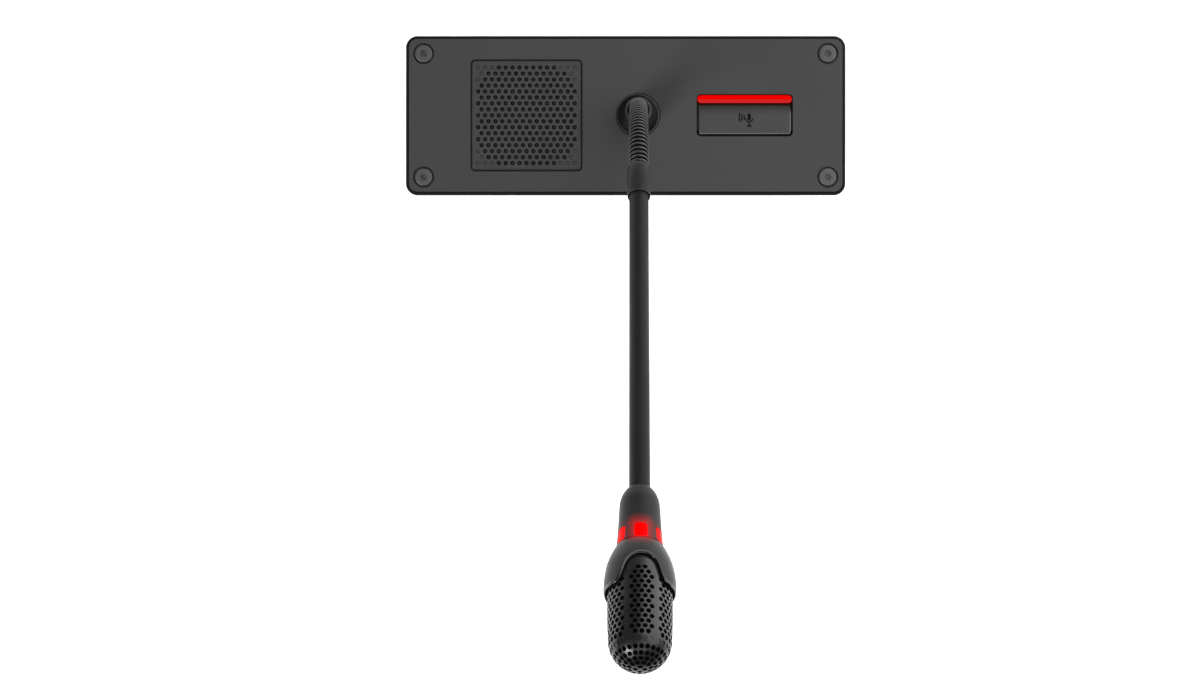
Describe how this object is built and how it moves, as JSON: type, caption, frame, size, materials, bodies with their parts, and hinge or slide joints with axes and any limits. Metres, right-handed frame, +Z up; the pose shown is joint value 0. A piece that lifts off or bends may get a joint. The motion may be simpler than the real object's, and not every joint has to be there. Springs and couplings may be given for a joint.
{
  "type": "gooseneck podium microphone",
  "caption": "Desk-flush panel with a loudspeaker grille, a lit talk button and a gooseneck microphone that bends and sways.",
  "frame": {"origin": "centre of the panel, on the desk surface that its underside rests on", "axes": "+Z up out of the desk, +X to the user's right, -Y towards the user, so the microphone leans towards -Y"},
  "size_m": [0.196, 0.2523, 0.2728],
  "materials": {
    "panel_coat": "fine matt anthracite coat",
    "screw_black": "blackened steel",
    "key_coat": "fine matt",
    "light_red": "diffusing red light guide",
    "black_plastic": "moulded, fine grain",
    "collar_gloss": "polished black",
    "neck_skin": "satin ribbed sleeve",
    "stem_coat": "matt black coat",
    "head_coat": "satin moulded",
    "grille_coat": "semi-gloss black on perforated steel",
    "foam": "open-cell foam",
    "paper_cone": "pressed paper",
    "ferrite": "ground ferrite",
    "zinc_steel": "zinc plated",
    "brass": "machined",
    "board": "solder mask on glass fibre",
    "led": "moulded lamp",
    "soft_rubber": "matt"
  },
  "bodies": {
    "base": {"front_panel": "panel_coat", "panel_screw_1": "screw_black", "panel_screw_2": "screw_black", "panel_screw_3": "screw_black", "panel_screw_4": "screw_black", "speaker_grille": "panel_coat", "speaker_gasket": "foam", "speaker_basket": "black_plastic", "speaker_cone": "paper_cone", "speaker_magnet": "ferrite", "speaker_screw_1": "zinc_steel", "speaker_screw_2": "zinc_steel", "speaker_screw_3": "zinc_steel", "speaker_screw_4": "zinc_steel", "light_bar": "light_red", "light_bar_leds": "led", "talk_switch": "black_plastic", "button_board": "board", "board_screw_1": "zinc_steel", "board_screw_2": "zinc_steel", "mic_collar": "collar_gloss", "neck_ferrule": "brass", "neck_washer": "zinc_steel", "neck_nut": "brass", "neck_root_link": "neck_skin", "rear_housing": "black_plastic", "rear_cover": "black_plastic", "cover_screw_1": "zinc_steel", "cover_screw_2": "zinc_steel", "cover_screw_3": "zinc_steel", "cover_screw_4": "zinc_steel", "main_board": "board", "main_board_screw_1": "zinc_steel", "main_board_screw_2": "zinc_steel", "link_socket_in": "zinc_steel", "link_socket_out": "zinc_steel"},
    "talk_key": {"talk_button": "key_coat", "switch_plunger": "soft_rubber"},
    "neck_1": {"neck_link_1": "neck_skin"},
    "neck_2": {"neck_link_2": "neck_skin"},
    "neck_3": {"neck_link_3": "neck_skin"},
    "neck_4": {"neck_link_4": "neck_skin"},
    "microphone": {"neck_end_link": "neck_skin", "coupling_sleeve": "stem_coat", "stem_tube": "stem_coat", "stem_cable": "soft_rubber", "head_shell": "head_coat", "light_ring": "light_red", "head_led_board": "board", "head_core": "black_plastic", "head_hood": "head_coat", "mic_grille": "grille_coat", "windscreen_foam": "foam", "capsule_cradle": "soft_rubber", "mic_capsule": "zinc_steel"}
  },
  "joints": [
    {"name": "talk_press", "type": "slide", "parent": "base", "child": "talk_key", "axis": [0, 0, -1], "range_m": [0, 0.0008], "stiffness_N_per_m": 2500, "springref_m": -0.0003},
    {"name": "neck_bend", "type": "hinge", "parent": "base", "child": "neck_1", "pos_m": [0.0056, -0.00012, 0.03498], "axis": [1, 0, 0], "range_deg": [-17, 13]},
    {"name": "neck_sway", "type": "hinge", "parent": "neck_1", "child": "neck_2", "pos_m": [0.0056, -0.00239, 0.04832], "axis": [0, 0.9627, 0.2706], "range_deg": [-22.5, 22.5]},
    {"name": "neck_bend_middle", "type": "hinge", "parent": "neck_2", "child": "neck_3", "pos_m": [0.0056, -0.00741, 0.06089], "axis": [1, 0, 0], "range_deg": [-17, 13]},
    {"name": "neck_sway_top", "type": "hinge", "parent": "neck_3", "child": "neck_4", "pos_m": [0.0056, -0.01496, 0.07212], "axis": [0, 0.7662, 0.6425], "range_deg": [-22.5, 22.5]},
    {"name": "neck_bend_top", "type": "hinge", "parent": "neck_4", "child": "microphone", "pos_m": [0.0056, -0.0247, 0.08152], "axis": [1, 0, 0], "range_deg": [-17, 13]}
  ],
  "couplings": [
    {"joint": "neck_bend_middle", "follows": "neck_bend", "ratio": 1},
    {"joint": "neck_bend_top", "follows": "neck_bend", "ratio": 1},
    {"joint": "neck_sway_top", "follows": "neck_sway", "ratio": 1}
  ]
}
